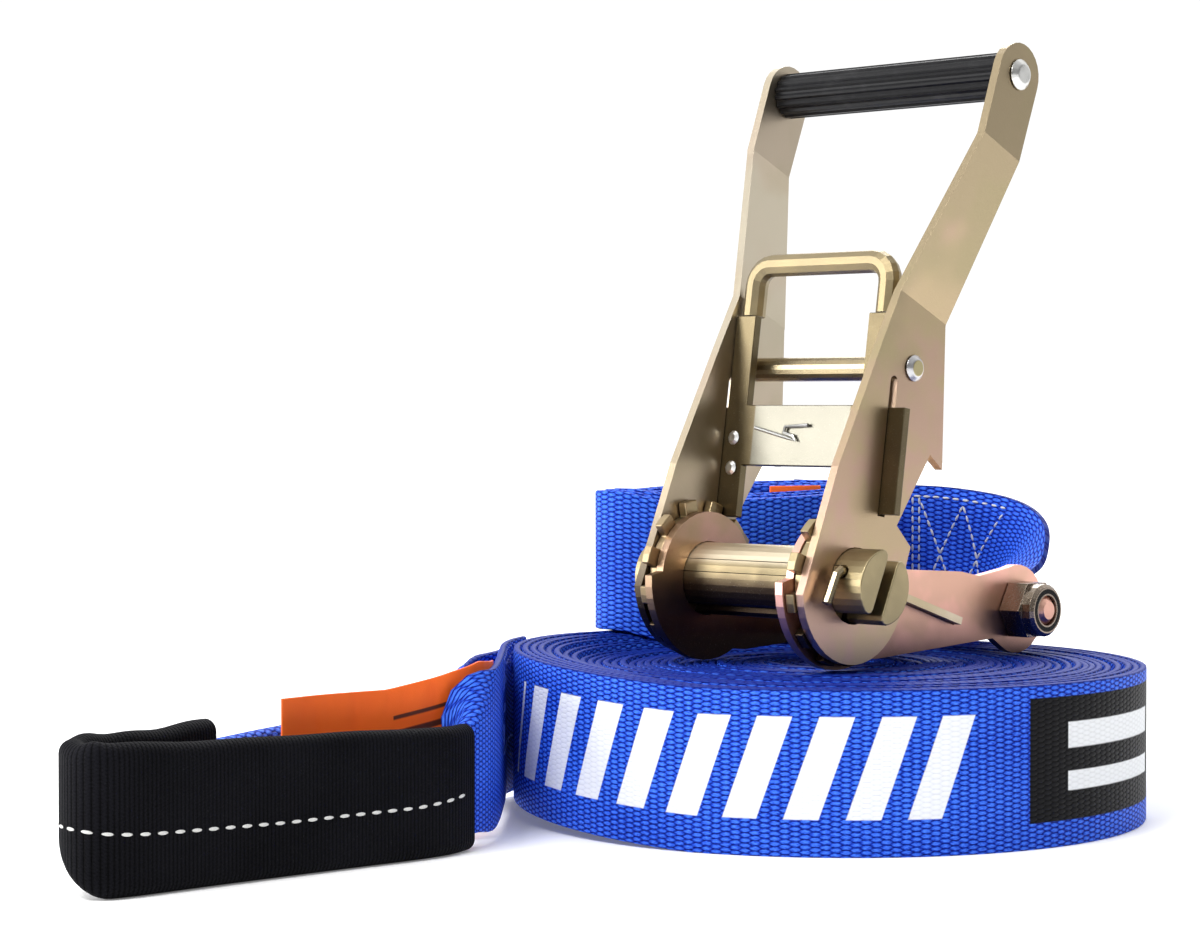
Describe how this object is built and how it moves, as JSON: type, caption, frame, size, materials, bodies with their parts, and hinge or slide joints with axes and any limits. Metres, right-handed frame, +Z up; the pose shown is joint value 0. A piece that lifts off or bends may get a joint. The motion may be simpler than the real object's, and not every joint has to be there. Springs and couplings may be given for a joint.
{
  "type": "slackline with ratchet",
  "caption": "Flat webbing line wound into a round coil with a sleeved eye, and a steel long-handle ratchet standing on it with its own short strap.",
  "frame": {"origin": "middle of the flat underside of the wound main line, where it lies on the ground", "axes": "+Z up; -Y towards the side that the picture shows; +X to its right, so the eye lies towards -X"},
  "size_m": [0.3273, 0.3068, 0.2528],
  "materials": {
    "blue_webbing": "woven polyester webbing",
    "black_webbing": "ribbed woven sleeve",
    "orange_label": "matte coated label",
    "coated_steel": "yellow passivated zinc, satin",
    "bare_steel": "zinc, satin",
    "black_plastic": "ribbed moulded grip"
  },
  "bodies": {
    "base": {"main_webbing_coil": "blue_webbing", "main_coil_core": "blue_webbing", "main_line_eye": "blue_webbing", "eye_sleeve": "black_webbing", "eye_label": "orange_label", "ratchet_strap_coil": "blue_webbing", "ratchet_strap_end": "blue_webbing", "strap_label": "orange_label", "base_plate_left": "coated_steel", "base_plate_right": "coated_steel", "base_guard_plate": "coated_steel", "rear_bolt": "coated_steel", "rear_nut": "coated_steel", "bolt_spacer": "coated_steel", "base_pawl_spring": "bare_steel"},
    "base_pawl": {"base_pawl": "coated_steel"},
    "handle": {"handle_plate_left": "coated_steel", "handle_plate_right": "coated_steel", "handle_grip": "black_plastic", "grip_rivet": "bare_steel", "cross_tube": "coated_steel", "cross_rivet": "bare_steel", "slider_spring": "bare_steel"},
    "slider": {"slider_pawl": "coated_steel", "pull_bar": "coated_steel", "slider_spring_clip": "bare_steel", "slider_rivet_left_low": "bare_steel", "slider_rivet_left_high": "bare_steel", "slider_rivet_right_low": "bare_steel", "slider_rivet_right_high": "bare_steel"},
    "spool": {"ratchet_wheel_left": "coated_steel", "ratchet_wheel_right": "coated_steel", "half_shaft_front": "coated_steel", "half_shaft_back": "coated_steel", "cotter_pin_left": "bare_steel", "cotter_pin_right": "bare_steel"}
  },
  "joints": [
    {"name": "handle_swing", "type": "hinge", "parent": "base", "child": "handle", "pos_m": [-0.02, -0.0185, 0.0773], "axis": [0.712, -0.7022, 0], "range_deg": [-35, 90]},
    {"name": "spool_spin", "type": "hinge", "parent": "handle", "child": "spool", "pos_m": [-0.02, -0.0185, 0.0773], "axis": [0.712, -0.7022, 0], "continuous": true},
    {"name": "slider_pull", "type": "slide", "parent": "handle", "child": "slider", "axis": [0.1046, 0.1061, 0.9888], "range_m": [0, 0.0085], "stiffness_N_per_m": 400, "springref_m": -0.02, "deforming": ["slider_spring"]},
    {"name": "base_pawl_slide", "type": "slide", "parent": "base", "child": "base_pawl", "axis": [-0.6697, -0.6791, 0.3007], "range_m": [0, 0.0045], "stiffness_N_per_m": 300, "springref_m": 0.0105, "deforming": ["base_pawl_spring"]}
  ]
}
